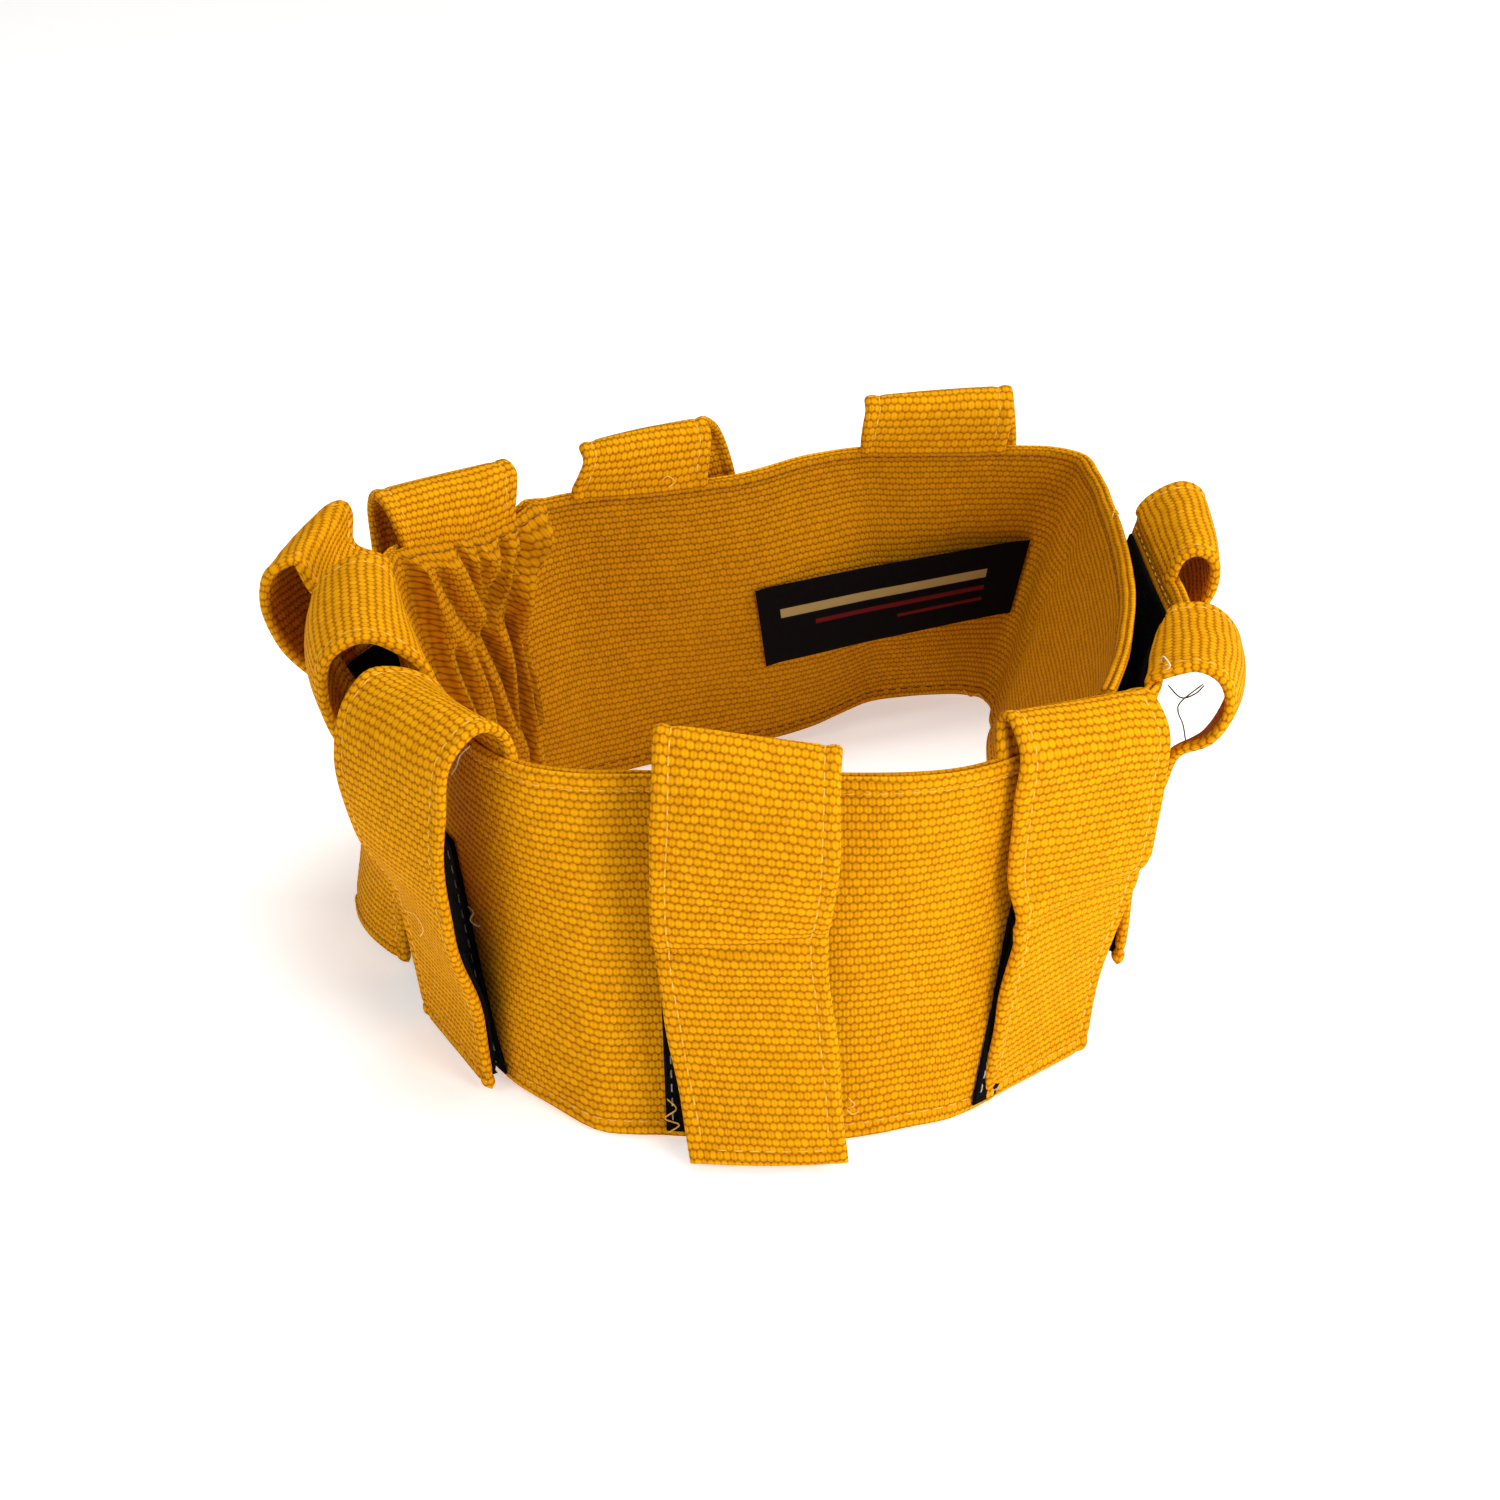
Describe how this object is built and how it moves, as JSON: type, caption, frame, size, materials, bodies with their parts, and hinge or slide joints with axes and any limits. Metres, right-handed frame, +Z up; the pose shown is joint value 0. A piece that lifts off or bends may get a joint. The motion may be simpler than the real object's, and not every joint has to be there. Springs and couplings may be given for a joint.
{
  "type": "instrument holder belt",
  "caption": "Child's waist belt of doubled canvas, standing as a ring, with a hook-and-loop closure and over-the-top loop straps that open to hold small instruments.",
  "frame": {"origin": "centre of the bounding box at the floor the belt stands on", "axes": "+Z up the standing band, -Y out of the front of the belt, +X towards the side where the two ends close"},
  "size_m": [0.217, 0.2212, 0.0957],
  "materials": {
    "mustard_canvas": "coarse woven canvas",
    "canvas_lining": "coarse woven canvas, shaded inside",
    "black_tape": "matt hook-and-loop tape",
    "woven_label": "smooth woven satin",
    "elastic": "ribbed elastic webbing"
  },
  "bodies": {
    "band": {"front_band_outer": "mustard_canvas", "front_band_lining": "canvas_lining", "gather_casing_outer": "mustard_canvas", "gather_casing_lining": "canvas_lining", "back_band_outer": "mustard_canvas", "back_band_lining": "canvas_lining", "waist_elastic": "elastic", "closure_loop_panel": "black_tape", "inner_label": "woven_label", "strap_1_root": "mustard_canvas", "strap_1_loop_tape": "black_tape", "strap_2_root": "mustard_canvas", "strap_2_loop_tape": "black_tape", "strap_3_root": "mustard_canvas", "strap_3_loop_tape": "black_tape", "strap_4_root": "mustard_canvas", "strap_4_loop_tape": "black_tape", "strap_5_root": "mustard_canvas", "strap_5_loop_tape": "black_tape", "strap_6_root": "mustard_canvas", "strap_6_loop_tape": "black_tape", "strap_7_root": "mustard_canvas", "strap_7_loop_tape": "black_tape", "strap_8_root": "mustard_canvas", "strap_8_loop_tape": "black_tape"},
    "closure_end": {"closure_end_outer": "mustard_canvas", "closure_end_lining": "canvas_lining", "closure_hook_panel": "black_tape", "strap_9_root": "mustard_canvas", "strap_9_loop_tape": "black_tape", "strap_10_root": "mustard_canvas", "strap_10_loop_tape": "black_tape"},
    "strap_1_flap": {"strap_1_flap": "mustard_canvas", "strap_1_hook_tape": "black_tape"},
    "strap_2_flap": {"strap_2_flap": "mustard_canvas", "strap_2_hook_tape": "black_tape"},
    "strap_3_flap": {"strap_3_flap": "mustard_canvas", "strap_3_hook_tape": "black_tape"},
    "strap_4_flap": {"strap_4_flap": "mustard_canvas", "strap_4_hook_tape": "black_tape"},
    "strap_5_flap": {"strap_5_flap": "mustard_canvas", "strap_5_hook_tape": "black_tape"},
    "strap_6_flap": {"strap_6_flap": "mustard_canvas", "strap_6_hook_tape": "black_tape"},
    "strap_7_flap": {"strap_7_flap": "mustard_canvas", "strap_7_hook_tape": "black_tape"},
    "strap_8_flap": {"strap_8_flap": "mustard_canvas", "strap_8_hook_tape": "black_tape"},
    "strap_9_flap": {"strap_9_flap": "mustard_canvas", "strap_9_hook_tape": "black_tape"},
    "strap_10_flap": {"strap_10_flap": "mustard_canvas", "strap_10_hook_tape": "black_tape"}
  },
  "joints": [
    {"name": "closure_open", "type": "hinge", "parent": "band", "child": "closure_end", "pos_m": [0.08742, -0.0488, 0], "axis": [0, 0, -1], "range_deg": [0, 60]},
    {"name": "strap_1_open", "type": "hinge", "parent": "band", "child": "strap_1_flap", "pos_m": [-0.00116, -0.09115, 0.09408], "axis": [-0.9993, 0.0376, 0], "range_deg": [0, 150]},
    {"name": "strap_2_open", "type": "hinge", "parent": "band", "child": "strap_2_flap", "pos_m": [0.07344, -0.06905, 0.09232], "axis": [-0.7464, -0.6654, 0], "range_deg": [0, 150]},
    {"name": "strap_3_open", "type": "hinge", "parent": "band", "child": "strap_3_flap", "pos_m": [-0.06776, -0.06804, 0.09395], "axis": [-0.3033, 0.9529, 0], "range_deg": [0, 150]},
    {"name": "strap_4_open", "type": "hinge", "parent": "band", "child": "strap_4_flap", "pos_m": [-0.08625, -0.03377, 0.0936], "axis": [-0.2079, 0.9781, 0], "range_deg": [0, 150]},
    {"name": "strap_5_open", "type": "hinge", "parent": "band", "child": "strap_5_flap", "pos_m": [-0.09771, 0.00518, 0.09276], "axis": [-0.0617, 0.9981, 0], "range_deg": [0, 150]},
    {"name": "strap_6_open", "type": "hinge", "parent": "band", "child": "strap_6_flap", "pos_m": [-0.07319, 0.04004, 0.09248], "axis": [0.8104, 0.5859, 0], "range_deg": [0, 150]},
    {"name": "strap_7_open", "type": "hinge", "parent": "band", "child": "strap_7_flap", "pos_m": [-0.0316, 0.05917, 0.09571], "axis": [0.9447, 0.3279, 0], "range_deg": [0, 150]},
    {"name": "strap_8_open", "type": "hinge", "parent": "band", "child": "strap_8_flap", "pos_m": [0.04763, 0.08585, 0.09417], "axis": [0.9984, 0.0573, 0], "range_deg": [0, 150]},
    {"name": "strap_9_open", "type": "hinge", "parent": "closure_end", "child": "strap_9_flap", "pos_m": [0.10419, 0.02793, 0.08614], "axis": [0.0228, -0.9997, 0], "range_deg": [0, 150]},
    {"name": "strap_10_open", "type": "hinge", "parent": "closure_end", "child": "strap_10_flap", "pos_m": [0.09964, -0.02924, 0.08794], "axis": [-0.0737, -0.9973, 0], "range_deg": [0, 150]}
  ]
}
